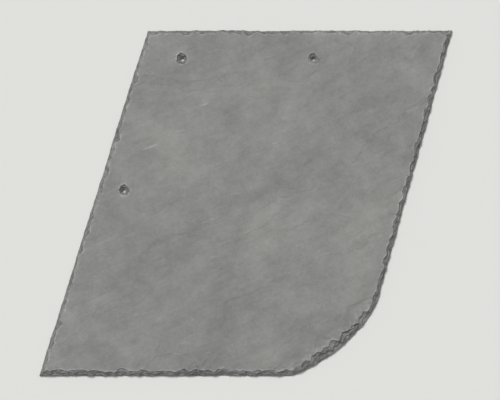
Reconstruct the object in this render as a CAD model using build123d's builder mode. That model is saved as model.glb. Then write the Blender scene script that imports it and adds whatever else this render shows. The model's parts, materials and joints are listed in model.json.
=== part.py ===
from build123d import *

import os
from math import cos, pi, radians, sin, sqrt, tan

# Slate roof tile of the scale pattern, for laying from right to left: a riven slab of slate with a
# straight foot, a slanted breast, a back parallel to it that ends in a rounded heel, and a plain head.
# It lies on its bed with the face up. X runs along the foot, Y runs up the roof slope from foot to
# head, and the origin is the middle of the underside. Sizes are in millimetres.

# Format, as slates of this pattern are sold: height square to the foot, width along the foot
slate_height = 320.0
slate_width = 280.0
thickness = 5.5

# The normal cut: the angle between the foot and the breast
breast_angle = 74.0

# Heel: where its curve leaves the back and reaches the foot, and the radius that it is hewn to.
# The curve is flatter than a tangent one, so it meets the back and the foot at blunt points.
heel_rise = 64.0
heel_run = 58.0
heel_radius = 148.0

# Hewn edge: the slate is struck from its bed side, so each blow breaks a shallow round-bottomed bite
# out of the face side, at a slope, and leaves a stump of square edge above the bed. Round the heel the
# slope eases to heel_slope in the middle, so the bevel is widest there and runs out to both its ends.
stump_height = 1.8
bite_pitch = 11.0
bite_radius = 15.0
straight_slope = 38.0
heel_slope = 22.0

# Spread of the blows about those figures, from the least to the most, and the slope's as a share of it
stump_spread = 1.0
slope_spread = 0.3
pitch_spread = 3.5

# Nail holes: punched from the bed, so that each breaks out a dish in the face for the nail's head
nail_hole_radius = 2.0
nail_dish_radius = 5.5
nail_dish_angle = 110.0

# Two holes stand in the strip under the course above, and one in the strip under the next slate
head_nail_setback = 28.0
head_nail_inset = 40.0
head_nail_spacing = 120.0
breast_nail_rise = 168.0
breast_nail_inset = 24.0

# Steps of the golden ratio round the unit interval give a scatter that is even and never repeats
golden_step = (sqrt(5) - 1) / 2


def scatter(blow, channel):
    """A number from -0.5 to 0.5 for a blow, with its own sequence for each channel."""
    return (golden_step * (blow + channel / 3)) % 1 - 0.5


def breast_x(rise):
    """X of the breast line at a rise above the foot."""
    return rise / tan(radians(breast_angle)) - overall_length / 2


# How far the head stands along X from the foot, and the overall length that follows
lean = slate_height / tan(radians(breast_angle))
overall_length = slate_width + lean
foot_y = -slate_height / 2
head_y = slate_height / 2

# Corners of the outline
foot_tip = (breast_x(0), foot_y)
heel_end = (breast_x(0) + slate_width - heel_run, foot_y)
back_point = (breast_x(heel_rise) + slate_width, foot_y + heel_rise)
head_tip = (breast_x(slate_height) + slate_width, head_y)
head_shoulder = (breast_x(slate_height), head_y)

# Outline, anticlockwise seen from the face
with BuildLine() as outline:
    foot = Line(foot_tip, heel_end)
    heel = RadiusArc(heel_end, back_point, -heel_radius)
    back = Line(back_point, head_tip)
    head = Line(head_tip, head_shoulder)
    breast = Line(head_shoulder, foot_tip)

# Each bite is cut by a cylinder that starts this far outside the outline and ends above the face
bite_lead = 2.0
gentlest_slope = radians(min(straight_slope, heel_slope) * (1 - slope_spread / 2))
bite_length = bite_lead + 1.5 * thickness / sin(gentlest_slope)


def bite_places(edge, middle_slope, first_blow):
    """Planes for the bites along one edge, where local Z climbs the broken slope into the slate."""
    count = max(2, round(edge.length / bite_pitch))
    places = []
    for step in range(count):
        blow = first_blow + step
        along = (step + 0.5) / count + pitch_spread * scatter(blow, 1) / edge.length
        tangent = edge.tangent_at(along)
        inward = Vector(0, 0, 1).cross(tangent)
        mean_slope = straight_slope + (middle_slope - straight_slope) * sin(pi * along)
        slope = radians(mean_slope * (1 + slope_spread * scatter(blow, 2)))
        uphill = inward * cos(slope) + Vector(0, 0, sin(slope))
        outward = Vector(0, 0, cos(slope)) - inward * sin(slope)
        stump = Vector(0, 0, stump_height + stump_spread * scatter(blow, 3))
        start = edge.position_at(along) + stump + outward * bite_radius - uphill * bite_lead
        places.append(Plane(origin=start, x_dir=tangent, z_dir=uphill))
    return places


# Middles of the nail holes, on the face
head_nail_x = breast_x(slate_height - head_nail_setback) + head_nail_inset
head_nail_y = head_y - head_nail_setback
nail_places = [
    (head_nail_x, head_nail_y, thickness),
    (head_nail_x + head_nail_spacing, head_nail_y, thickness),
    (breast_x(breast_nail_rise) + breast_nail_inset, foot_y + breast_nail_rise, thickness),
]

# Riven slab with its hewn edge and nail holes
with BuildPart() as slate:
    with BuildSketch() as blank:
        add(outline.line)
        make_face()
    extrude(amount=thickness)

    bites = []
    for edge in (foot, heel, back, head, breast):
        middle_slope = heel_slope if edge is heel else straight_slope
        bites += bite_places(edge, middle_slope, len(bites))
    with Locations(*bites):
        Cylinder(
            bite_radius,
            bite_length,
            align=(Align.CENTER, Align.CENTER, Align.MIN),
            mode=Mode.SUBTRACT,
        )

    with Locations(*nail_places):
        CounterSinkHole(nail_hole_radius, nail_dish_radius, counter_sink_angle=nail_dish_angle)

slate.part.label = "slate"

os.makedirs("parts", exist_ok=True)
export_step(slate.part, "parts/slate.step")
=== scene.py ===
import json
import logging
from dataclasses import dataclass, field
from enum import Enum
from functools import cached_property, partial
from math import asin, atan2, cos, pi, radians, sin, sqrt, tan
from typing import Callable, ClassVar, Iterable

import bmesh
import bpy
import numpy as np
from bpy.types import Material, NodeSocket, NodeTree, Object
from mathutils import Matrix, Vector, noise

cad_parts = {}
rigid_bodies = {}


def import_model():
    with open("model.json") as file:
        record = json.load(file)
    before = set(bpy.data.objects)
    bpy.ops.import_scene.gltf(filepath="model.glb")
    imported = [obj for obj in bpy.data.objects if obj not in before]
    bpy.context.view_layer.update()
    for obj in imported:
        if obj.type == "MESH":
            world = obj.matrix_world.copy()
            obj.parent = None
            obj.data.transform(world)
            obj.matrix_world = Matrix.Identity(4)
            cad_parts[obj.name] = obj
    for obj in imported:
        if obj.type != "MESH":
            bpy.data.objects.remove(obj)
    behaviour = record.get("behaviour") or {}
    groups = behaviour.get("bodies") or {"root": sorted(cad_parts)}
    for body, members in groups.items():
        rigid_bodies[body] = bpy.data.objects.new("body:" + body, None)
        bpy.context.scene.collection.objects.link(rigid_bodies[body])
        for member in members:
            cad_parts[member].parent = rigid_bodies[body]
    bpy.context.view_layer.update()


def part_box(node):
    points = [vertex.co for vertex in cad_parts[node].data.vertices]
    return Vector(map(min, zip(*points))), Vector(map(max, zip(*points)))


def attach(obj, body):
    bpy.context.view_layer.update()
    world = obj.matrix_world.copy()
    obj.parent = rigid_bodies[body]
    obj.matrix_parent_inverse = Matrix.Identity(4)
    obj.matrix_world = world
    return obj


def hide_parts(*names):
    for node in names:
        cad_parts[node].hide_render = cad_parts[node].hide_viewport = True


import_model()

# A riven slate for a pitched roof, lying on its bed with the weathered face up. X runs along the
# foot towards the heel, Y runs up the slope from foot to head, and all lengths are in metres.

Places = np.ndarray  # one row of coordinates for each place
Values = np.ndarray  # one number for each place

log = logging.getLogger("slate")

MM = 0.001
NODE = "slate"
BODY = "root"
PICTURE = (500, 400)
GRAIN_ANGLE = radians(24.0)  # of the riven face's grain, from X
FAR_ABOVE = 1.0  # a height that stands for rock that isn't broken out
TINY = 1e-9  # the least that a length is divided by

# The mesh's attributes, which the finish reads.
BROKEN = "broken"
RIM = "rim"
STEPS = "cleavage_steps"
SCARS = "edge_scars"


def smoothstep(ramp: Values) -> Values:
    """Ease a ramp from 0 to 1, held flat outside it."""
    ramp = np.clip(ramp, 0.0, 1.0)
    return ramp * ramp * (3.0 - 2.0 * ramp)


def turned(points: Places, angle: float) -> Places:
    """Measure places along and across a direction.

    Args:
        points: Places in plan.
        angle: The direction's angle from X.

    Returns:
        Their coordinates along and across it.
    """
    along = points[:, 0] * cos(angle) + points[:, 1] * sin(angle)
    across = points[:, 1] * cos(angle) - points[:, 0] * sin(angle)
    return np.stack([along, across], axis=1)


@dataclass(frozen=True)
class Lumps:
    """Smooth relief with lumps of one size, which rises and falls by about 0.7 of its depth."""

    shift: ClassVar[np.ndarray] = np.array([17.3, 5.1, 11.7])  # from one layer to the next
    depth: float
    size: float  # width of one lump
    layer: int  # gives each relief its own pattern
    octaves: int = 1  # how many times finer lumps are laid over the first
    softness: float = 1.0  # how fast the finer lumps get shallower
    stretch: float = 1.0  # of the lumps along the first coordinate

    def at(self, points: Places, number: int = 0) -> Values:
        """Height of the relief.

        Args:
            points: Places with up to three coordinates.
            number: Which it is of several patterns of this kind.

        Returns:
            One height for each place.
        """
        finer = 2.0
        flat = np.zeros((len(points), 3))
        flat[:, : points.shape[1]] = points
        flat[:, 0] /= self.stretch
        places = (flat / self.size + self.shift * (self.layer + number + 1)).tolist()
        if self.octaves == 1:
            return self.depth * np.array([noise.noise(place) for place in places])
        made = [noise.fractal(place, self.softness, finer, self.octaves) for place in places]
        return self.depth * np.array(made)


class Side(Enum):
    """The five edges of the slate, anticlockwise seen from the face."""

    FOOT = "foot"
    HEEL = "heel"
    BACK = "back"
    HEAD = "head"
    BREAST = "breast"


@dataclass(frozen=True)
class PlanEdge:
    """One edge of the outline, straight or an arc that bulges outwards."""

    closed: ClassVar[bool] = False  # whether its two ends are one place
    growth: ClassVar[float] = 0.6  # of the distance inside, for each length past a straight end
    side: Side
    start: Vector
    end: Vector
    radius: float | None = None  # of the arc, or None on a straight edge

    @property
    def chord(self) -> Vector:
        """From the first end to the last."""
        return self.end - self.start

    @property
    def half_angle(self) -> float:
        """Half the angle that the arc turns through."""
        return asin(self.chord.length / 2 / self.radius)

    @property
    def centre(self) -> Vector:
        """The arc's centre, on the slate's side of the edge."""
        inward = Vector((-self.chord.y, self.chord.x)).normalized()
        return (self.start + self.end) / 2 + inward * self.radius * cos(self.half_angle)

    @property
    def length(self) -> float:
        """Length along the edge."""
        if self.radius is None:
            return self.chord.length
        return 2 * self.half_angle * self.radius

    @property
    def span(self) -> tuple[float, float]:
        """The first and the last place along the edge."""
        return 0.0, self.length

    def point(self, share: float) -> Vector:
        """Find a place on the edge.

        Args:
            share: How far along it the place is, as a share of its length.

        Returns:
            The place in plan.
        """
        if self.radius is None:
            return self.start + self.chord * share
        spoke = self.start - self.centre
        angle = 2 * self.half_angle * share
        x = spoke.x * cos(angle) - spoke.y * sin(angle)
        y = spoke.x * sin(angle) + spoke.y * cos(angle)
        return self.centre + Vector((x, y))

    def inward(self, share: float) -> Vector:
        """Find the direction into the slate.

        Args:
            share: How far along the edge, as a share of its length.

        Returns:
            The unit direction in plan.
        """
        if self.radius is None:
            return Vector((-self.chord.y, self.chord.x)).normalized()
        return (self.centre - self.point(share)).normalized()

    def place(self, along: Values, inside: Values) -> Places:
        """Find places from their distances.

        Args:
            along: How far along the edge each is.
            inside: How far in from it each is.

        Returns:
            The places in plan.
        """
        if self.radius is None:
            ways = np.array([self.chord.normalized(), self.inward(0.5)])
            return np.array(self.start) + np.stack([along, inside], axis=1) @ ways
        first = self.start - self.centre
        angle = atan2(first.y, first.x) + along / self.radius
        spokes = np.stack([np.cos(angle), np.sin(angle)], axis=1)
        return np.array(self.centre) + (self.radius - inside)[:, None] * spokes

    def measure(self, points: Places) -> tuple[Values, Values, Places]:
        """Measure places against the edge.

        Args:
            points: Places in plan.

        Returns:
            How far along the edge each is, how far inside it, and the inward direction there. Past
            the edge's ends the distance inside grows.
        """
        if self.radius is None:
            inward = np.array(self.inward(0.5))
            offset = points - np.array(self.start)
            along = offset @ np.array(self.chord.normalized())
            past = np.maximum(np.maximum(-along, along - self.length), 0.0)
            return along, offset @ inward + self.growth * past, np.tile(inward, (len(points), 1))
        spokes = points - np.array(self.centre)
        reach = np.maximum(np.hypot(spokes[:, 0], spokes[:, 1]), TINY)
        first = self.start - self.centre
        angle = np.arctan2(spokes[:, 1], spokes[:, 0]) - atan2(first.y, first.x)
        angle = (angle + pi) % (2 * pi) - pi
        beyond = (angle < 0) | (angle > 2 * self.half_angle)
        to_ends = [np.linalg.norm(points - np.array(end), axis=1) for end in (self.start, self.end)]
        inside = np.where(beyond, np.minimum(*to_ends), self.radius - reach)
        return angle * self.radius, inside, -spokes / reach[:, None]


@dataclass(frozen=True)
class SlatePlan:
    """The slate seen from above. Its height, length and thickness come from the frame."""

    low: Vector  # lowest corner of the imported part
    high: Vector  # its highest corner
    breast_angle: float = radians(74.0)  # between foot and breast, the normal cut
    heel_rise: float = 64.0 * MM  # how far above the foot the heel leaves the back
    heel_run: float = 58.0 * MM  # how far before the foot's full width the heel reaches the foot
    heel_radius: float = 148.0 * MM  # that the heel is hewn to

    @property
    def height(self) -> float:
        """Height of the slate, square to its foot."""
        return self.high.y - self.low.y

    @property
    def lean(self) -> float:
        """How far the head stands along X from the foot."""
        return self.height / tan(self.breast_angle)

    @property
    def width(self) -> float:
        """Width of the slate along its foot, the heel's run with it."""
        return self.high.x - self.low.x - self.lean

    @property
    def thickness(self) -> float:
        """Thickness of the slate."""
        return self.high.z - self.low.z

    def breast_x(self, rise: float) -> float:
        """X of the breast line at a rise above the foot."""
        return self.low.x + rise / tan(self.breast_angle)

    @cached_property
    def edges(self) -> dict[Side, PlanEdge]:
        """The outline's edges in order, from the foot's tip."""
        foot_tip = Vector((self.low.x, self.low.y))
        heel_end = Vector((self.low.x + self.width - self.heel_run, self.low.y))
        back_x = self.breast_x(self.heel_rise) + self.width
        back_point = Vector((back_x, self.low.y + self.heel_rise))
        head_tip = Vector((self.high.x, self.high.y))
        head_shoulder = Vector((self.high.x - self.width, self.high.y))
        made = (
            PlanEdge(Side.FOOT, foot_tip, heel_end),
            PlanEdge(Side.HEEL, heel_end, back_point, self.heel_radius),
            PlanEdge(Side.BACK, back_point, head_tip),
            PlanEdge(Side.HEAD, head_tip, head_shoulder),
            PlanEdge(Side.BREAST, head_shoulder, foot_tip),
        )
        return {edge.side: edge for edge in made}

    def depth_inside(self, points: Places) -> Values:
        """Distance of each place from the outline."""
        return np.min([edge.measure(points)[1] for edge in self.edges.values()], axis=0)


@dataclass(frozen=True)
class Lamination:
    """The leaves that slate splits into, which end one behind another where it is broken."""

    # Thickness of each leaf that shows in a break, from the bed up, as a share of all.
    shares: tuple[float, ...] = (0.16, 0.17, 0.13, 0.18, 0.12, 0.24)
    hold: float = 0.7  # how far up a leaf the break has got where it ends, as a share of the leaf
    # How a leaf's end wanders, measured in height up the break.
    ragged: Lumps = Lumps(1.2 * MM, 9.0 * MM, layer=100, octaves=4, softness=0.6)
    drop: float = 0.3 * MM  # how far in plan a leaf's end takes to drop
    softening: float = 3.0  # how much is added to that for each length from the end to its rows
    soft_drop: float = 1.6 * MM  # the most that is added to it
    ledge: float = 0.2 * MM  # the least that a leaf shows past the end of the one over it
    flatness: float = 0.75  # 0 is a smooth break, and 1 is all flat leaves and steep ends


@dataclass(frozen=True)
class HewnEdge:
    """The edge as the slate hammer leaves it: bites broken out of the face, struck from the bed.

    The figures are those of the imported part, so that the bites stand where its bites stand.
    """

    stump_height: float = 1.8 * MM  # mean height of the square edge under each bite
    bite_pitch: float = 11.0 * MM  # mean distance from blow to blow
    bite_radius: float = 15.0 * MM  # of a bite's round bottom
    straight_slope: float = radians(38.0)  # mean slope of the break on the straight edges
    heel_slope: float = radians(22.0)  # in the heel's middle, eased to the straight at its ends
    stump_spread: float = 1.0 * MM  # of the stump's height
    slope_spread: float = 0.3  # of the slope, as a share of it
    pitch_spread: float = 3.5 * MM  # of the blows' places
    chip_radius: float = 6.5 * MM  # of the small chips lost from between two bites
    chip_lift: float = 0.5 * MM  # how much higher than the bites those chips begin
    chip_spread: float = 0.7  # of the chips' places, as a share of the way from blow to blow

    @staticmethod
    def scatter(blow: int, channel: int) -> float:
        """A number from -0.5 to 0.5 for a blow, with its own sequence for each channel."""
        golden_step = (sqrt(5) - 1) / 2
        return (golden_step * (blow + channel / 3)) % 1 - 0.5

    def blows(self, edge: PlanEdge) -> int:
        """How many blows hew an edge."""
        return max(2, round(edge.length / self.bite_pitch))

    def height(self, edge: PlanEdge, first_blow: int, points: Places) -> Values:
        """Height of the break above the bed, which is over the face where nothing is broken out.

        Args:
            edge: The edge that is hewn.
            first_blow: The number of its first blow.
            points: Places in plan.

        Returns:
            One height for each place.
        """
        lowest = np.full(len(points), FAR_ABOVE)
        count = self.blows(edge)
        eased = self.heel_slope if edge.side is Side.HEEL else self.straight_slope
        for step in range(count):
            aside, tilt, lift, chip_aside, chip_tilt, chip_size = (
                self.scatter(first_blow + step, channel) for channel in (1, 2, 3, 4, 5, 7)
            )
            share = (step + 0.5) / count + self.pitch_spread * aside / edge.length
            slope = self.straight_slope + (eased - self.straight_slope) * sin(pi * share)
            stump = self.stump_height + self.stump_spread * lift
            chip_share = min((step + 1.0 + self.chip_spread * chip_aside) / count, 1.0)
            chip_radius = self.chip_radius * (1.0 + chip_size)
            for place, turn, foot, radius in (
                (share, tilt, stump, self.bite_radius),
                (chip_share, chip_tilt, stump + self.chip_lift, chip_radius),
            ):
                tilted = slope * (1 + self.slope_spread * turn)
                lowest = np.minimum(lowest, self.bite(edge, place, tilted, foot, radius, points))
        return lowest

    @staticmethod
    def bite(
        edge: PlanEdge, share: float, slope: float, stump: float, radius: float, points: Places
    ) -> Values:
        """Height of one round-bottomed bite.

        Args:
            edge: The edge that it is broken out of.
            share: Where on the edge it is, as a share of the edge's length.
            slope: How steeply it rises into the slate.
            stump: Its height at the outline.
            radius: Radius of its round bottom.
            points: Places in plan.

        Returns:
            One height for each place, which is far above the slate beside the bite.
        """
        inward = np.array(edge.inward(share))
        offset = points - np.array(edge.point(share))
        aside = offset @ np.array([inward[1], -inward[0]])
        sag = radius - np.sqrt(np.maximum(radius**2 - aside**2, 0.0))
        height = stump + (offset @ inward) * tan(slope) + sag / cos(slope)
        return np.where(np.abs(aside) < radius, height, FAR_ABOVE)


@dataclass(frozen=True)
class NailHole:
    """A hole punched from the bed, with the dish that it breaks out of the face."""

    closed: ClassVar[bool] = True  # whether the line round it ends where it starts
    centre: Vector
    number: int  # gives each dish its own ragged rim
    radius: float = 2.0 * MM
    dish_radius: float = 5.5 * MM  # at the face
    dish_angle: float = radians(110.0)  # full angle that the dish closes at
    ragged: Lumps = Lumps(0.34, 0.9, layer=40, octaves=3)  # on a circle of radius 1

    @property
    def span(self) -> tuple[float, float]:
        """The first and the last place round the dish."""
        return -pi * self.dish_radius, pi * self.dish_radius

    def place(self, along: Values, inside: Values) -> Places:
        """Find places from their distances.

        Args:
            along: How far round the dish each is.
            inside: How far out from the hole each is.

        Returns:
            The places in plan.
        """
        angle = along / self.dish_radius
        spokes = np.stack([np.cos(angle), np.sin(angle)], axis=1)
        return np.array(self.centre) + (self.radius + inside)[:, None] * spokes

    def measure(self, points: Places) -> tuple[Values, Values, Places]:
        """Measure places against the hole.

        Args:
            points: Places in plan.

        Returns:
            How far round the dish each is, how far out from the hole, and the way outwards.
        """
        spokes = points - np.array(self.centre)
        reach = np.maximum(np.hypot(spokes[:, 0], spokes[:, 1]), TINY)
        along = np.arctan2(spokes[:, 1], spokes[:, 0]) * self.dish_radius
        return along, reach - self.radius, spokes / reach[:, None]

    def height(self, thickness: float, points: Places) -> Values:
        """Height of the dish's floor above the bed.

        Args:
            thickness: Thickness of the slate.
            points: Places in plan.

        Returns:
            One height for each place, over the face outside the dish.
        """
        _, inside, bearing = self.measure(points)
        shrunk = self.radius + inside * (1.0 + self.ragged.at(bearing, self.number))
        return thickness - (self.dish_radius - shrunk) / tan(self.dish_angle / 2)


@dataclass(frozen=True)
class Strip:
    """The strip of the net that a break lies in."""

    rows: int  # how many of the net's rows the break may take up
    firsts: tuple[int, ...]  # for each leaf that ends in it, the first of the two rows at its end
    eased: float = 3.5 * MM  # how far from its ends the rows are eased back to where they were
    bruise: float = 2.5 * MM  # how far past the break the face is bruised faintly


@dataclass(frozen=True)
class Break:
    """A break along one edge or round one nail hole, where the leaves end one behind another."""

    line: PlanEdge | NailHole
    floor: Callable[[Places], Values]  # the smooth break's height above the bed at places in plan
    leaves: Lamination
    thickness: float  # of the slate
    row: float  # width of the net's rows beside the line
    strip: Strip
    # How much shorter the rows get at the line's first and last end, for each distance in.
    mitres: tuple[float, float] = (0.0, 0.0)
    unevenness: tuple[Lumps, ...] = (
        Lumps(0.5 * MM, 6.0 * MM, layer=20, octaves=2),
        Lumps(0.16 * MM, 1.6 * MM, layer=21, octaves=2),
    )
    beside: float = 3.0 * MM  # how far in from the line the leaves' wandering is read
    samples: int = 3  # how many heights are read for each row
    least_gap: float = 0.1 * MM  # between two drawn rows
    whole: float = 0.999  # how much of the top leaf stands where nothing is broken out
    rim: tuple[float, float] = (0.4 * MM, 0.9 * MM)  # middle and half width, past that leaf's end
    faintness: float = 0.5  # strength of the faint bruise

    @property
    def ending(self) -> list[int]:
        """The numbers of the leaves that end in the break."""
        top = len(self.leaves.shares)
        return list(range(top - len(self.strip.firsts), top))

    @property
    def width(self) -> float:
        """Width of the strip."""
        return self.strip.rows * self.row

    def smooth(self, points: Places) -> Values:
        """Height of the break before its leaves step back.

        Args:
            points: Places in plan.

        Returns:
            One height for each place.
        """
        height = self.floor(points)
        for lumps in self.unevenness:
            height = height + lumps.at(points)
        return height

    @cached_property
    def track(self) -> tuple[Values, np.ndarray]:
        """Places along the line, and how far in from it each leaf ends there.

        A leaf that still stands on the line itself has its end outside, at less than nothing. A
        binomial filter blunts the jumps of an end from one place to the next.
        """
        leaves = self.leaves
        first, last = self.line.span
        along = np.linspace(first, last, round((last - first) / self.row) + 1)
        inside = np.linspace(0.0, self.width, self.samples * self.strip.rows)
        grid = [values.ravel() for values in np.meshgrid(along, inside, indexing="ij")]
        heights = self.smooth(self.line.place(*grid)).reshape(len(along), len(inside))
        heights = np.maximum.accumulate(heights, axis=1)
        beside = self.line.place(along, np.full_like(along, self.beside))
        past_ends = "wrap" if self.line.closed else "edge"
        blunting = np.array([1, 6, 15, 20, 15, 6, 1]) / 64
        ends: list[Values] = []
        for leaf in self.ending:
            level = sum(leaves.shares[:leaf]) + leaves.hold * leaves.shares[leaf]
            level = level * self.thickness - leaves.ragged.at(beside, leaf)
            end = np.array([np.interp(up, column, inside) for up, column in zip(level, heights)])
            outside = np.maximum(level - heights[:, 0], -leaves.drop)
            end = np.where(level < heights[:, 0], outside, end)
            end = np.pad(end, len(blunting) // 2, mode=past_ends)
            end = np.convolve(end, blunting, mode="valid")
            if ends:
                end = np.where(ends[-1] > 0, np.maximum(end, ends[-1] + leaves.ledge), end)
            ends.append(end)
        room = self.width - (leaves.drop + leaves.ledge) * np.arange(len(ends), 0, -1)
        return along, np.minimum(np.array(ends), room[:, None])

    def ends(self, along: Values) -> np.ndarray:
        """How far in each leaf ends, one row for each leaf and one column for each place."""
        places, ends = self.track
        return np.array([np.interp(along, places, end) for end in ends])

    def draw(self, points: Places) -> Places:
        """Draw the net's rows to the leaves' ends, two rows to each.

        Args:
            points: Places in plan.

        Returns:
            How far each place moves.
        """
        along, inside, inward = self.line.measure(points)
        half = self.leaves.drop / 2
        rows = [0]
        knots = [np.zeros_like(along)]
        for end, row in zip(self.ends(along), self.strip.firsts):
            rows += [row, row + 1]
            knots += [end - half, end + half]
        rows.append(self.strip.rows)
        knots.append(np.full_like(along, self.width))
        spread = self.least_gap * np.arange(len(rows))[:, None]
        knots = np.maximum.accumulate(np.array(knots) - spread, axis=0) + spread

        here = inside / self.row
        lower = np.clip(np.searchsorted(rows, here, side="right") - 1, 0, len(rows) - 2)
        rows = np.array(rows, dtype=float)
        share = (here - rows[lower]) / (rows[lower + 1] - rows[lower])
        every = np.arange(len(points))
        drawn = knots[lower, every] * (1 - share) + knots[lower + 1, every] * share
        moved = np.where((here >= 0) & (here <= self.strip.rows), drawn - inside, 0.0)
        return inward * (moved * self.hold(along, inside))[:, None]

    def hold(self, along: Values, inside: Values) -> Values:
        """How fully the net's rows follow the leaves' ends, from 0 at the strip's ends to 1.

        Args:
            along: How far along the line each place is.
            inside: How far in from it. The strip is mitred, so it is shorter further in.

        Returns:
            One share for each place.
        """
        if self.line.closed:
            return np.ones_like(along)
        first, last = self.line.span
        shorter = np.multiply.outer(self.mitres, np.maximum(inside, 0.0))
        from_mitres = np.minimum(along - first - shorter[0], last - along - shorter[1])
        return smoothstep(from_mitres / self.strip.eased)

    def height(self, points: Places) -> tuple[Values, Values]:
        """Height of the leaves in the break.

        Args:
            points: Places in plan.

        Returns:
            One height for each place, which is far above the slate where nothing is broken, and how
            much the face is bruised there.
        """
        leaves = self.leaves
        along, inside, _ = self.line.measure(points)
        ends = self.ends(along)
        rows = (np.array(self.strip.firsts) + 0.5) * self.row
        astray = (1 - self.hold(along, inside)) * np.abs(rows[:, None] - ends)
        drop = leaves.drop + np.minimum(leaves.softening * astray, leaves.soft_drop)
        standing = np.cumprod(np.clip((inside - ends) / drop + 0.5, 0, 1), axis=0)
        shares = np.array(leaves.shares)
        stepped = sum(shares[: self.ending[0]]) + shares[self.ending] @ standing
        smooth = self.smooth(points)
        broken = smooth + (stepped * self.thickness - smooth) * leaves.flatness
        broken += (self.thickness - broken) * standing[-1]
        past = inside - ends[-1]
        rim = np.exp(-(((past - self.rim[0]) / self.rim[1]) ** 2))
        faint = self.faintness * smoothstep(1 - np.abs(past) / self.strip.bruise)
        return np.where(standing[-1] > self.whole, FAR_ABOVE, broken), np.maximum(rim, faint)


@dataclass(frozen=True)
class RivenFace:
    """The face as it splits: nearly flat, with a swell, ripples along the grain and thin steps."""

    swell_depth: float = 0.30 * MM
    swell: Lumps = Lumps(0.7, 130.0 * MM, layer=0, octaves=2)  # as a share of that depth
    roll: Lumps = Lumps(0.16 * MM, 34.0 * MM, layer=1, octaves=3, stretch=2.5)
    ripple: Lumps = Lumps(0.10 * MM, 10.0 * MM, layer=2, octaves=3, stretch=6.0)
    # The field whose level lines are the cleavage steps, and what makes those lines uneven.
    drift: Lumps = Lumps(1.0, 70.0 * MM, layer=2, octaves=3, stretch=2.2)
    jitter: Lumps = Lumps(0.04, 6.0 * MM, layer=3)
    step_levels: tuple[float, ...] = (-0.36, 0.05, 0.34)  # where on that field the steps lie
    least_slope: float = 1.5  # of that field, where a distance is worked out from it
    # The leaves lost along the edge: how far in they reach for a wave of height 1, and at most,
    # the waves of their ends along the edge, and the ends' unevenness.
    scar_width: float = 1.6 * (34.0 * MM)
    scar_reach: float = 34.0 * MM
    scar_wave: Lumps = Lumps(1.0, 55.0 * MM, layer=60, octaves=3)
    scar_end: Lumps = Lumps(1.5 * MM, 8.0 * MM, layer=80, octaves=2)
    rarities: tuple[float, ...] = (0.16, 0.24, 0.34)  # how high a wave is where each leaf is lost
    line_reach: float = 8.0 * MM  # how far from a step or a leaf's end the finish knows its place

    def depth(self, points: Places, number: int) -> Values:
        """Depth of the riven surface under the slate's full thickness.

        Args:
            points: Places in plan.
            number: A number that gives face and bed their own pattern.

        Returns:
            One depth for each place.
        """
        grain = turned(points, GRAIN_ANGLE)
        fall = self.swell_depth * (0.5 + self.swell.at(points, number))
        for lumps in (self.roll, self.ripple):
            fall += lumps.at(grain, number)
        return fall

    def drifting(self, points: Places) -> Values:
        """The field whose level lines are the cleavage steps."""
        return self.drift.at(turned(points, GRAIN_ANGLE)) + self.jitter.at(points)

    def steps(self, points: Places) -> np.ndarray:
        """Measure places against the three cleavage steps.

        Args:
            points: Places in plan.

        Returns:
            Three distances for each place, less than nothing above the step.
        """
        nudge = 0.5 * MM
        here = self.drifting(points)
        slopes = [
            (self.drifting(points + np.array(shift)) - here) / nudge
            for shift in ((nudge, 0.0), (0.0, nudge))
        ]
        slope = np.maximum(np.hypot(*slopes), self.least_slope)
        away = [(here - level) / slope for level in self.step_levels]
        return np.clip(np.stack(away, axis=1), -self.line_reach, self.line_reach)

    def scars(self, edges: Iterable[PlanEdge], points: Places) -> np.ndarray:
        """How far each place lies inside three leaves lost along the edges, one over another.

        Args:
            edges: The outline's edges.
            points: Places in plan.

        Returns:
            Three distances for each place, less than nothing where that leaf is still there.
        """
        leaves = len(self.rarities)
        lost = np.full((len(points), leaves), -self.line_reach)
        for number, edge in enumerate(edges):
            along, inside, _ = edge.measure(points)
            near = inside < self.scar_reach
            track = along[near, None]
            for leaf, rarity in enumerate(self.rarities):
                pattern = (leaves + 1) * number + leaf
                width = self.scar_width * (self.scar_wave.at(track, pattern) - rarity)
                width = width - inside[near] + self.scar_end.at(points[near], pattern)
                lost[near, leaf] = np.maximum(lost[near, leaf], width)
        return np.clip(lost, -self.line_reach, self.line_reach)


def add_plane(name: str, size: float) -> Object:
    """Add a square about the origin, with nothing else selected.

    Args:
        name: Its name.
        size: Length of its sides.

    Returns:
        The square.
    """
    bpy.ops.object.select_all(action="DESELECT")
    bpy.ops.mesh.primitive_plane_add(size=size, location=(0.0, 0.0, 0.0))
    bpy.context.object.name = name
    return bpy.context.object


class Kind(Enum):
    """What a mesh is made of."""

    VERTICES = "verts"
    EDGES = "edges"
    FACES = "faces"


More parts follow.
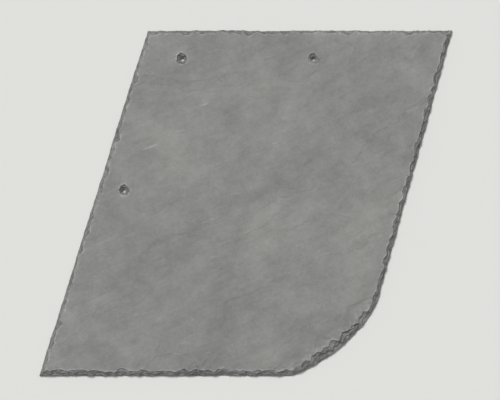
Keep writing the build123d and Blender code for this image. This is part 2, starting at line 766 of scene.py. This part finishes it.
@dataclass
class RivenSlate:
    """The slate itself: one slab, riven on both faces and hewn all round."""

    plan: SlatePlan
    hewn: HewnEdge = HewnEdge()
    face: RivenFace = RivenFace()
    leaves: Lamination = Lamination()
    cells_a_side: int = 92  # of the first net, along each of its four sides
    ring: float = 1.9 * MM  # width of the first net's rings along the outline
    rings: int = 8
    ring_rows: int = 4  # that a ring is divided into
    edge_strip: Strip = Strip(18, (1, 3, 6, 8, 11))
    heel_strip: Strip = Strip(32, (2, 5, 8, 11, 15), eased=5.0 * MM, bruise=9.0 * MM)
    dish_strip: Strip = Strip(16, (1, 4, 9))  # the lower leaves don't end in a dish
    # Radii of the rings about a nail hole, down to the hole itself.
    dish_rings: tuple[float, ...] = (7.6 * MM, 6.2 * MM, 4.8 * MM, 3.4 * MM, 2.0 * MM)
    sunk: float = 0.12 * MM  # how far the face is let down under the full thickness
    least_height: float = 0.7 * MM  # of the hewn edge
    bed_relief: float = 0.6  # of the bed, as a share of the face's
    broken_depth: float = 0.3 * MM  # under the face, from where the rock is fully rough
    wander: float = 0.7 * MM  # the most that the hewn outline wanders in from the true one
    bends: Lumps = Lumps(0.7, 24.0 * MM, layer=80, octaves=3)  # how it wanders along the edge
    crumbs: Lumps = Lumps(0.25, 2.6 * MM, layer=90, octaves=2)  # and from leaf to leaf as well
    crease: float = radians(32.0)  # angle over which two facets meet at a sharp edge
    piece: Object = field(init=False)

    @property
    def nail_holes(self) -> list[NailHole]:
        """The two holes near the head and the one near the breast."""
        head_setback = 28.0 * MM
        head_inset = 40.0 * MM
        head_spacing = 120.0 * MM
        breast_rise = 168.0 * MM
        breast_inset = 24.0 * MM
        head_x = self.plan.breast_x(self.plan.height - head_setback) + head_inset
        head_y = self.plan.high.y - head_setback
        breast_x = self.plan.breast_x(breast_rise) + breast_inset
        breast_y = self.plan.low.y + breast_rise
        middles = ((head_x, head_y), (head_x + head_spacing, head_y), (breast_x, breast_y))
        return [NailHole(Vector(middle), number) for number, middle in enumerate(middles)]

    @cached_property
    def breaks(self) -> list[Break]:
        """The breaks along the five edges and round the nail holes."""
        begin = partial(Break, leaves=self.leaves, thickness=self.plan.thickness)
        edges = list(self.plan.edges.values())
        mitres = [
            tan(before.inward(1.0).angle(after.inward(0.0)) / 2)
            for before, after in zip(edges[-1:] + edges[:-1], edges)
        ]
        row = self.ring / self.ring_rows
        blow = 0
        made = []
        for edge, ends in zip(edges, zip(mitres, mitres[1:] + mitres[:1])):
            strip = self.heel_strip if edge.side is Side.HEEL else self.edge_strip
            floor = partial(self.hewn.height, edge, blow)
            made.append(begin(edge, floor, row=row, strip=strip, mitres=ends))
            blow += self.hewn.blows(edge)
        row = (self.dish_rings[0] - self.dish_rings[-1]) / self.dish_strip.rows
        for hole in self.nail_holes:
            floor = partial(hole.height, self.plan.thickness)
            made.append(begin(hole, floor, row=row, strip=self.dish_strip))
        return made

    def build(self) -> Object:
        """Model the slate.

        Returns:
            The finished piece.
        """
        self.piece = add_plane("riven_slate", 1.0)
        self.cut_outline()
        self.ring_the_outline()
        self.net_the_plan()
        for hole in self.nail_holes:
            self.open_hole(hole.centre.to_3d())
        self.raise_slab()
        self.refine()
        self.sculpt()
        bpy.ops.object.select_all(action="DESELECT")
        self.piece.select_set(True)
        bpy.ops.object.shade_smooth_by_angle(angle=self.crease)
        return self.piece

    @property
    def net(self) -> bmesh.types.BMesh:
        """The piece's mesh in edit mode."""
        return bmesh.from_edit_mesh(self.piece.data)

    def pick(self, kind: Kind, wanted: Callable[[Iterable], Iterable[bool]]) -> None:
        """Select some vertices, edges or faces in edit mode, and nothing else.

        Args:
            kind: Which of them to select from.
            wanted: Says of each whether to select it, given all of them.
        """
        bpy.ops.mesh.select_all(action="DESELECT")
        net = self.net
        elements = getattr(net, kind.value)
        for element, is_wanted in zip(elements, wanted(elements)):
            if is_wanted:
                element.select = True
        bmesh.update_edit_mesh(self.piece.data)

    def pick_faces(self, wanted: Callable[[Places], Iterable[bool]]) -> None:
        """Select some faces in edit mode, and nothing else.

        Args:
            wanted: Says of each whether to select it, given the middles of all of them.
        """
        self.pick(
            Kind.FACES,
            lambda faces: wanted(np.array([face.calc_center_median() for face in faces])),
        )

    def cut_outline(self) -> None:
        """Shape the square to the slanted blank and trim its heel."""
        plan = self.plan
        bpy.ops.object.mode_set(mode="EDIT")
        bpy.ops.transform.resize(value=(plan.width, plan.height, 1.0), center_override=(0, 0, 0))
        bpy.ops.transform.translate(value=(-plan.lean / 2, 0.0, 0.0))
        self.pick(Kind.VERTICES, lambda vertices: [vertex.co.y > 0 for vertex in vertices])
        bpy.ops.transform.translate(value=(plan.lean, 0.0, 0.0))
        heel = plan.edges[Side.HEEL]
        cuts = self.side_counts[Side.HEEL]
        for cut in range(cuts):
            first = heel.point(cut / cuts)
            last = heel.point((cut + 1) / cuts)
            outward = Vector((last.y - first.y, first.x - last.x, 0.0)).normalized()
            bpy.ops.mesh.select_all(action="SELECT")
            bpy.ops.mesh.bisect(
                plane_co=(*first, 0.0), plane_no=outward, clear_outer=True, threshold=0.001 * MM
            )

    @property
    def side_counts(self) -> dict[Side, int]:
        """How many cells of the first net lie along each edge of the outline.

        The net has four sides of as many cells: foot with half the heel, back with the other half,
        head, and breast.
        """
        edges = self.plan.edges
        half_heel = edges[Side.HEEL].length / 2
        foot, back = (
            round(self.cells_a_side * (1 - half_heel / (edges[side].length + half_heel)))
            for side in (Side.FOOT, Side.BACK)
        )
        heel = 2 * self.cells_a_side - foot - back
        return dict(zip(Side, (foot, heel, back, self.cells_a_side, self.cells_a_side)))

    def ring_the_outline(self) -> None:
        """Lay rings along the outline and divide their straight lengths into the net's cells."""
        undivided = 20 * MM
        bpy.ops.mesh.select_all(action="SELECT")
        for _ in range(self.rings):
            bpy.ops.mesh.inset(thickness=self.ring, use_even_offset=True)
        for side, count in self.side_counts.items():
            if side is not Side.HEEL:
                self.pick(
                    Kind.EDGES,
                    lambda lines: [
                        line.calc_length() > undivided and self.nearest(line) is side
                        for line in lines
                    ],
                )
                bpy.ops.mesh.subdivide(number_cuts=count - 1)

    def nearest(self, line: bmesh.types.BMEdge) -> Side:
        """Find the side of the outline that an edge of the net is nearest to.

        Args:
            line: The edge of the net.

        Returns:
            The side.
        """
        middle = np.array([sum((vertex.co for vertex in line.verts), Vector()).xy / 2])
        sides = self.plan.edges.values()
        return min(sides, key=lambda side: float(side.measure(middle)[1][0])).side

    def net_the_plan(self) -> None:
        """Fill the middle of the rings with a four-sided net."""
        middle_ring = self.ring * self.rings / 2
        depth_inside = self.plan.depth_inside
        self.pick_faces(lambda middles: depth_inside(middles[:, :2]) > 2 * middle_ring)
        bpy.ops.mesh.delete(type="ONLY_FACE")
        net = self.net
        rim = [vert for vert in net.verts if any(line.is_boundary for line in vert.link_edges)]
        depths = depth_inside(np.array([vertex.co.xy for vertex in rim]))
        inner = [vertex for vertex, depth in zip(rim, depths) if depth > middle_ring]
        bpy.ops.mesh.select_all(action="DESELECT")
        for vertex in inner:
            vertex.select = True
        net.select_flush(True)
        foot_tip = self.plan.edges[Side.FOOT].start
        corner = min(inner, key=lambda vertex: (vertex.co.xy - foot_tip).length)
        net.select_history.clear()
        net.select_history.add(corner)
        bmesh.update_edit_mesh(self.piece.data)
        bpy.ops.mesh.fill_grid(span=self.cells_a_side, use_interp_simple=False)

    def open_hole(self, centre: Vector) -> None:
        """Open a round hole in the net, with round rings about it for its dish.

        Args:
            centre: The hole's middle.
        """
        falloff = 18 * MM
        touching = 0.01 * MM
        cells_out = 2
        net = self.net
        middle = min(net.verts, key=lambda vertex: (vertex.co - centre).length)
        shift = centre - middle.co
        reaches = [(vertex, (vertex.co - middle.co).length) for vertex in net.verts]
        for vertex, reach in reaches:
            vertex.co += shift * max(1 - reach / falloff, 0.0)
        bmesh.update_edit_mesh(self.piece.data)
        self.pick(
            Kind.VERTICES,
            lambda vertices: [(vertex.co - centre).length < touching for vertex in vertices],
        )
        for _ in range(cells_out):
            bpy.ops.mesh.select_more()
        bpy.ops.mesh.delete(type="VERT")
        self.pick(
            Kind.EDGES,
            lambda lines: [
                line.is_boundary and (line.verts[0].co - centre).length < falloff for line in lines
            ],
        )
        for radius in self.dish_rings:
            bpy.ops.mesh.extrude_edges_move()
            net = self.net
            for vertex in net.verts:
                if vertex.select:
                    vertex.co = centre + (vertex.co - centre).normalized() * radius
            bmesh.update_edit_mesh(self.piece.data)

    def raise_slab(self) -> None:
        """Give the net its thickness, with walls round the outline and in the nail holes."""
        bpy.ops.mesh.select_all(action="SELECT")
        bpy.ops.mesh.extrude_region_move(
            TRANSFORM_OT_translate={"value": (0.0, 0.0, self.plan.thickness)}
        )
        bpy.ops.mesh.select_all(action="SELECT")
        bpy.ops.mesh.normals_make_consistent(inside=False)

    def refine(self) -> None:
        """Divide the face and walls once, and the hewn edge and the dishes once more."""
        above_bed = 0.01 * MM
        self.pick_faces(lambda middles: middles[:, 2] > above_bed)
        bpy.ops.mesh.subdivide(number_cuts=1)
        self.pick_faces(
            lambda middles: (middles[:, 2] > above_bed) & self.is_broken(middles[:, :2])
        )
        bpy.ops.mesh.subdivide(number_cuts=1)
        bpy.ops.object.mode_set(mode="OBJECT")

    def is_broken(self, points: Places) -> Values:
        """Whether each place lies in the strip of a break."""
        strips = [part.line.measure(points)[1] < part.width for part in self.breaks]
        return np.any(strips, axis=0)

    def sculpt(self) -> None:
        """Break the flat slab's surface back to the riven and hewn one."""
        near_bed, near_face = 0.01, 0.99
        face_pattern, bed_pattern = 0, 30
        mesh = self.piece.data
        thickness = self.plan.thickness
        places = np.zeros(len(mesh.vertices) * 3)
        mesh.vertices.foreach_get("co", places)
        places = places.reshape(-1, 3)
        share = places[:, 2] / thickness
        on_bed, on_face = share < near_bed, share > near_face
        plan = places[:, :2].copy()
        loose = np.clip(self.plan.depth_inside(plan) / (self.ring / self.ring_rows), 0.0, 1.0)
        drawn = sum(part.draw(places[:, :2]) for part in self.breaks)
        plan += drawn * (loose * on_face)[:, None]

        riven = np.minimum(thickness - self.face.depth(plan, face_pattern) - self.sunk, thickness)
        broken = np.full(len(plan), FAR_ABOVE)
        bruised = np.zeros(len(plan))
        for part in self.breaks:
            near = part.line.measure(plan)[1] < part.width + part.strip.bruise
            height, bruise = part.height(plan[near])
            broken[near] = np.minimum(broken[near], height)
            bruised[near] = np.maximum(bruised[near], bruise)
        top = np.maximum(np.minimum(riven, broken), self.least_height)

        bed = self.bed_relief * self.face.depth(plan, bed_pattern)
        bed -= bed.min()
        height = bed * (1 - share) + top * share
        height += self.plan.low.z - height.min()
        moved = plan + self.pulled_in(plan, places[:, 2])
        mesh.vertices.foreach_set("co", np.column_stack([moved, height]).ravel())

        rough = np.where(on_face, smoothstep((riven - top) / self.broken_depth), 1.0)
        scars = self.face.scars(self.plan.edges.values(), plan)
        scars[on_bed] = -self.face.line_reach
        marks = {
            BROKEN: np.where(on_bed, 0.0, rough),
            RIM: bruised * on_face,
            STEPS: self.face.steps(plan),
            SCARS: scars,
        }
        for name, values in marks.items():
            kind, slot = ("FLOAT", "value") if values.ndim == 1 else ("FLOAT_VECTOR", "vector")
            attribute = mesh.attributes.new(name, kind, "POINT")
            attribute.data.foreach_set(slot, values.astype(np.float32).ravel())
        mesh.update()

    def pulled_in(self, plan: Places, heights: Values) -> Places:
        """Let the hewn outline wander as a real one does.

        Args:
            plan: Places in plan.
            heights: Their heights in the flat slab.

        Returns:
            How far each place moves in plan.
        """
        reach = 8 * MM
        end_reach = 3 * MM
        leaf_stretch = 4
        shift = np.zeros_like(plan)
        for number, edge in enumerate(self.plan.edges.values()):
            near = edge.measure(plan)[1] < reach
            along, inside, inward = edge.measure(plan[near])
            layered = np.stack([along, heights[near] * leaf_stretch], axis=1)
            wander = 0.5 + self.bends.at(along[:, None], number) + self.crumbs.at(layered, number)
            amount = self.wander * np.clip(wander, 0.0, 1.0)
            fade = np.clip(1 - np.abs(inside) / reach, 0.0, 1.0) ** 2
            ends = np.clip(np.minimum(along, edge.length - along) / end_reach + 1.0, 0.0, 1.0)
            shift[near] += inward * (amount * fade * ends)[:, None]
        return shift


def linear(hex_colour: str) -> tuple[float, float, float, float]:
    """Turn an sRGB colour to a linear one.

    Args:
        hex_colour: The colour in hex, such as #868684.

    Returns:
        Its linear channels, with full alpha.
    """
    channels = [int(hex_colour[place : place + 2], 16) / 255 for place in (1, 3, 5)]
    low_end = 0.04045
    made = [c / 12.92 if c <= low_end else ((c + 0.055) / 1.055) ** 2.4 for c in channels]
    return (*made, 1.0)


def add_node(
    tree: NodeTree,
    kind: str,
    inputs: dict[str | int, object],
    output: str | int = 0,
    **settings: object,
) -> NodeSocket | None:
    """Add a node with its settings and links.

    Args:
        tree: The tree that it goes into.
        kind: Blender's name of the node's type, without ShaderNode before it.
        inputs: What goes into its sockets, by name or number: an output to link, or a value.
        output: Which of its outputs is wanted.
        settings: The node's own properties.

    Returns:
        That output, or None for a node that has none.
    """
    node = tree.nodes.new("ShaderNode" + kind)
    for name, value in settings.items():
        setattr(node, name, value)
    for name, value in inputs.items():
        if isinstance(value, NodeSocket):
            tree.links.new(value, node.inputs[name])
        else:
            node.inputs[name].default_value = value
    return node.outputs[output] if node.outputs else None


class Lie(Enum):
    """How a pattern lies on the slate: its angle from X, and how it is stretched."""

    PLAIN = (0.0, (1.0, 1.0, 1.0))
    RIPPLED = (GRAIN_ANGLE, (3.5, 1.0, 1.0))
    SILKEN = (GRAIN_ANGLE, (6.0, 1.0, 1.0))
    THREADED = (GRAIN_ANGLE, (9.0, 1.0, 1.0))
    RUBBED = (radians(66.0), (45.0, 1.0, 1.0))
    STROKED = (radians(17.0), (6.0, 1.0, 1.0))
    LAYERED = (0.0, (9.0, 9.0, 1.0))


@dataclass(frozen=True)
class Pattern:
    """A noise pattern of the finish, from 0 to 1."""

    size: float  # width of its marks
    detail: float  # how many times finer marks are laid over them
    lie: Lie = Lie.PLAIN
    rise: float = 0.0  # height of its bumps, in millimetres
    weight: float = 0.0  # how much it lightens and darkens the face


@dataclass(frozen=True)
class SlateFinish:
    """Roofing slate, riven along its leaves and hewn at the edge, weathered but clean.

    To the eye it is a dull mid grey with a fine grain, faintly silky rather than shiny, clouded
    with slightly cooler and warmer patches, with thin broken lines where leaves have come off, a
    few small pale flecks and rubbed scratches. The broken edge is rougher, and shows the leaves as
    fine bands.
    """

    patterns: ClassVar[dict[str, Pattern]] = {
        # Clouds of tone, and the mottling inside them.
        "cloud": Pattern(75.0 * MM, 3.0, weight=0.60),
        "mottle": Pattern(16.0 * MM, 4.0, weight=0.62),
        # The ripples across the grain and its fine lines.
        "ripple": Pattern(6.5 * MM, 3.0, Lie.RIPPLED, rise=0.16, weight=0.50),
        "silk": Pattern(2.0 * MM, 3.0, Lie.SILKEN, rise=0.07, weight=0.12),
        # Rough patches, and clumps of grains, drawn as coarse as they need to show.
        "crystal": Pattern(3.2 * MM, 4.0, rise=0.12, weight=0.40),
        "grit": Pattern(1.3 * MM, 4.0, rise=0.09, weight=0.28),
        # The finest lines of the grain, and the grains, which show only close to.
        "thread": Pattern(0.9 * MM, 3.0, Lie.THREADED, rise=0.04, weight=0.11),
        "grain": Pattern(0.5 * MM, 3.0, rise=0.09, weight=0.30),
        # Pale specks, narrow rubbed scratches and broad rubbed marks.
        "speck": Pattern(2.4 * MM, 1.0),
        "scratch": Pattern(0.9 * MM, 0.0, Lie.RUBBED),
        "stroke": Pattern(5.0 * MM, 3.0, Lie.STROKED),
        # The leaves that show in a break, drawn coarser than the real 0.2 mm.
        "strata": Pattern(0.5 * MM, 2.0, Lie.LAYERED),
    }
    cool: str = "#848483"  # cooler tone of the riven face
    warm: str = "#868683"  # warmer tone of it
    fleck: str = "#A9A9A7"  # pale specks and bruises
    broken_pale: str = "#8F8F8D"  # paler leaves in a break
    broken_dark: str = "#6A6A68"  # darker leaves in it
    line: float = 0.4 * MM  # how much the painted shade along a step or a lost leaf's end darkens the face
    line_wander: float = 0.8 * MM  # how far such a line wanders
    blur: float = 9.0  # how many times wider it gets where it fades
    painted_line_shade: float = 0.25  # how much the dirt in it darkens the face
    dullness: tuple[float, float] = (0.52, 0.64)  # roughness of the face, silky and dull
    broken_dullness: float = 0.75  # roughness of a break
    crumb_height: float = 0.25 * MM  # height of the crumbs in a break
    grittiness: float = 1.6  # how strong the grit is in them beside the leaves
    ior: float = 1.55

    @cached_property
    def made(self) -> Material:
        """The material, with the nodes that have been added so far."""
        made = bpy.data.materials.new("riven_slate")
        made.use_nodes = True
        made.node_tree.nodes.clear()
        return made

    @property
    def add(self) -> Callable[..., NodeSocket]:
        """Adds a node to the material."""
        return partial(add_node, self.made.node_tree)

    @cached_property
    def broken(self) -> NodeSocket:
        """How much of the surface is a break."""
        return self.add("Attribute", {}, output="Fac", attribute_name=BROKEN)

    @cached_property
    def noises(self) -> dict[str, NodeSocket]:
        """The noise patterns by name."""
        place = self.add("TexCoord", {}, output="Object")
        laid = {Lie.PLAIN: place}
        for lie in Lie:
            if lie is not Lie.PLAIN:
                angle, stretch = lie.value
                turn = {"Vector": place, "Rotation": (0.0, 0.0, angle), "Scale": stretch}
                laid[lie] = self.add("Mapping", turn, vector_type="TEXTURE")
        made = {}
        for name, pattern in self.patterns.items():
            shape = {"Scale": 1 / pattern.size, "Detail": pattern.detail, "Roughness": 0.55}
            made[name] = self.add("TexNoise", {"Vector": laid[pattern.lie]} | shape, output="Fac")
        return made

    def material(self) -> Material:
        """Make the material.

        Returns:
            The slate's material, on Object coordinates and the slate's own attributes.
        """
        height, shade = self.add_lines()
        colour = self.add_colour(shade)
        for name, pattern in self.patterns.items():
            if pattern.rise:
                terms = {0: self.noises[name], 1: pattern.rise, 2: height}
                height = self.add("Math", terms, operation="MULTIPLY_ADD")
        relief = self.add("Bump", {"Strength": 1.0, "Distance": MM, "Height": height})
        terms = {0: self.noises["grit"], 1: self.grittiness, 2: self.noises["strata"]}
        crumbs = self.add("Math", terms, operation="MULTIPLY_ADD")
        rough = {"Strength": self.broken, "Distance": self.crumb_height, "Height": crumbs}
        relief = self.add("Bump", rough | {"Normal": relief})
        silky, dull = self.dullness
        ramp = {"Value": self.noises["ripple"], 1: 0.3, 2: 0.7, 3: silky, 4: dull}
        ends = {0: self.broken, 2: self.add("MapRange", ramp), 3: self.broken_dullness}
        dullness = self.add("Mix", ends, data_type="FLOAT")
        shader = self.add(
            "BsdfPrincipled",
            {"Base Color": colour, "Roughness": dullness, "Normal": relief, "IOR": self.ior},
        )
        self.add("OutputMaterial", {"Surface": shader})
        return self.made

    def add_lines(self) -> tuple[NodeSocket, NodeSocket]:
        """Add the crisp steps where leaves have come off the face, with painted shade along them,
        but not in the breaks.

        Returns:
            The steps' height in millimetres, and their shade, 0 where there is nothing to see.
        """
        height: NodeSocket | float = 0.0
        shade: NodeSocket | float = 0.0
        begin = self.line_wander
        crisp, blurred = begin + self.line, begin + self.blur * self.line
        clear, soft = (
            self.add(
                "MapRange", {"Value": self.noises["mottle"], 1: 0.40, 2: 0.62, 3: low, 4: high}
            )
            for low, high in ((0.0, 1.0), (blurred, crisp))
        )
        # Three lines of each kind, each with the depth and the tone of the ground past it.
        for name, drops, tones in (
            (STEPS, (0.10, 0.13, 0.10), (0.04, -0.05, 0.04)),
            (SCARS, (0.16, 0.14, 0.20), (-0.04, 0.05, -0.03)),
        ):
            mark = self.add("Attribute", {}, output="Vector", attribute_name=name)
            terms = {0: self.noises["speck"], 1: (2 * self.line_wander,) * 3, 2: mark}
            away = self.add("VectorMath", terms, operation="MULTIPLY_ADD")
            gone = self.add(
                "MapRange",
                {"Vector": away, 7: (begin,) * 3, 8: soft, 9: (0.0,) * 3, 10: (1.0,) * 3},
                output="Vector",
                data_type="FLOAT_VECTOR",
                clamp=True,
            )
            kept = self.add("VectorMath", {0: (1.0,) * 3, 1: gone}, operation="SUBTRACT")
            drop, tone, end = (
                self.add("VectorMath", {0: gone, 1: other}, "Value", operation="DOT_PRODUCT")
                for other in (drops, tones, kept)
            )
            height = self.add("Math", {0: height, 1: drop}, operation="SUBTRACT")
            # Painted shade: a thin dark line along each step and lost leaf's end, standing for a
            # shaded crevice there.
            painted_line_shade = self.add("Math", {0: end, 1: clear}, operation="MULTIPLY")
            for value, weight in ((tone, 1.0), (painted_line_shade, -self.painted_line_shade)):
                terms = {0: value, 1: weight, 2: shade}
                shade = self.add("Math", terms, operation="MULTIPLY_ADD")
        height, shade = (
            self.add("MapRange", {"Value": self.broken, 3: value, 4: 0.0})
            for value in (height, shade)
        )
        return height, shade

    def add_colour(self, shade: NodeSocket) -> NodeSocket:
        """Add the colour of face and break.

        Args:
            shade: The lines' shade.

        Returns:
            The colour.
        """
        mix = partial(self.add, "Mix", output=2, data_type="RGBA")
        # How far up a pattern its marks begin and are full, and how strong they are there.
        clouds, bands, flecks, rubbed, strokes, patchy, crumbs = (
            self.add("MapRange", {"Value": self.noises[name], 1: low, 2: high, 4: most})
            for name, low, high, most in (
                ("cloud", 0.36, 0.64, 1.0),
                ("strata", 0.40, 0.60, 1.0),
                ("speck", 0.74, 0.80, 0.6),
                ("scratch", 0.73, 0.82, 0.4),
                ("stroke", 0.68, 0.80, 0.7),
                ("mottle", 0.52, 0.66, 1.0),
                ("crystal", 0.38, 0.62, 0.9),
            )
        )
        rim = self.add("Attribute", {}, output="Fac", attribute_name=RIM)
        scratches, bruise = (
            self.add("Math", {0: first, 1: second}, operation="MULTIPLY")
            for first, second in ((rubbed, patchy), (rim, crumbs))
        )
        face = mix({0: clouds, 6: linear(self.cool), 7: linear(self.warm)})
        for share in (flecks, strokes, scratches, bruise):
            face = mix({0: share, 6: face, 7: linear(self.fleck)})
        leaves = mix({0: bands, 6: linear(self.broken_dark), 7: linear(self.broken_pale)})
        colour = mix({0: self.broken, 6: face, 7: leaves})
        middle = 1.0 - sum(pattern.weight for pattern in self.patterns.values()) / 2
        shade = self.add("Math", {0: shade, 1: middle}, operation="ADD")
        for name, pattern in self.patterns.items():
            if pattern.weight:
                terms = {0: self.noises[name], 1: pattern.weight, 2: shade}
                shade = self.add("Math", terms, operation="MULTIPLY_ADD")
        return self.add("VectorMath", {0: colour, 3: shade}, operation="SCALE")


@dataclass(frozen=True)
class Studio:
    """Plain pale floor, broad soft lamp from the head's side, even light all round, and camera."""

    floor_colour: str = "#F7F7F4"
    floor_side: float = 12.0
    floor_dullness: float = 0.9
    floor_sheen: float = 0.2
    lamp_strength: float = 2.05
    lamp_angle: float = radians(26.0)  # how broad the lamp looks, which softens the shadow
    lamp_from: tuple[float, float, float] = (-0.42, 0.55, 1.0)  # where its light comes from
    surround: float = 0.26  # strength of the even light
    lens: float = 150.0  # focal length in millimetres, long as for a far roof
    sensor: float = 36.0  # its width in millimetres
    elevation: float = radians(76.0)  # of the camera above the slate's plane
    margin: float = 1.16  # height of the picture over the slate's height in it

    def lay_floor(self) -> Object:
        """Lay the floor that the slate lies on.

        Returns:
            The floor, of matte paper.
        """
        floor = add_plane("floor", self.floor_side)
        matte = bpy.data.materials.new("pale_paper")
        matte.use_nodes = True
        sockets = matte.node_tree.nodes["Principled BSDF"].inputs
        sockets["Base Color"].default_value = linear(self.floor_colour)
        sockets["Roughness"].default_value = self.floor_dullness
        sockets["Specular IOR Level"].default_value = self.floor_sheen
        floor.data.materials.append(matte)
        return floor

    def light(self) -> None:
        """Hang the lamp and set the even light round it."""
        lamp = bpy.data.lights.new("soft_lamp", "SUN")
        lamp.energy = self.lamp_strength
        lamp.angle = self.lamp_angle
        holder = bpy.data.objects.new("soft_lamp", lamp)
        bpy.context.scene.collection.objects.link(holder)
        aim = Vector(self.lamp_from)
        holder.location = aim
        holder.rotation_euler = aim.to_track_quat("Z", "Y").to_euler()

        world = bpy.data.worlds.new("even_light")
        bpy.context.scene.world = world
        world.use_nodes = True
        world.node_tree.nodes.clear()
        add = partial(add_node, world.node_tree)
        seen = add("LightPath", {}, output="Is Camera Ray")
        path = seen.node.outputs
        for kind in ("Is Glossy Ray", "Is Transmission Ray"):
            seen = add("Math", {0: seen, 1: path[kind]}, operation="MAXIMUM")
        even = add("Background", {"Color": (1.0,) * 4, "Strength": self.surround})
        backdrop = add("Background", {"Color": linear(self.floor_colour), "Strength": 1.0})
        both = add("MixShader", {0: seen, 1: even, 2: backdrop})
        add("OutputWorld", {"Surface": both})

    def set_camera(self, plan: SlatePlan) -> None:
        """Stand the camera on the foot's side, looking down on the slate with its head upwards.

        Args:
            plan: The slate's plan, which fills the picture.
        """
        camera = bpy.data.cameras.new("camera")
        camera.lens = self.lens
        camera.sensor_width = self.sensor
        holder = bpy.data.objects.new("camera", camera)
        bpy.context.scene.collection.objects.link(holder)
        back = Vector((0.0, -cos(self.elevation), sin(self.elevation)))
        picture_height = plan.height * sin(self.elevation) * self.margin
        picture_width = picture_height * PICTURE[0] / PICTURE[1]
        holder.location = back * (picture_width * self.lens / self.sensor)
        holder.rotation_euler = back.to_track_quat("Z", "Y").to_euler()
        bpy.context.scene.camera = holder


def main() -> None:
    """Build the slate, the floor, the light and the camera, and report the slate and the floor."""
    plan = SlatePlan(*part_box(NODE))
    piece = RivenSlate(plan).build()
    piece.data.materials.append(SlateFinish().material())
    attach(piece, BODY)
    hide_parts(NODE)
    triangles = sum(len(face.vertices) - 2 for face in piece.data.polygons)
    log.info("%s: %d triangles", piece.name, triangles)

    studio = Studio()
    log.info("%s laid", studio.lay_floor().name)
    studio.light()
    studio.set_camera(plan)
    bpy.context.scene.view_settings.view_transform = "Standard"


if __name__ == "__main__":
    logging.basicConfig(level=logging.INFO)
    main()
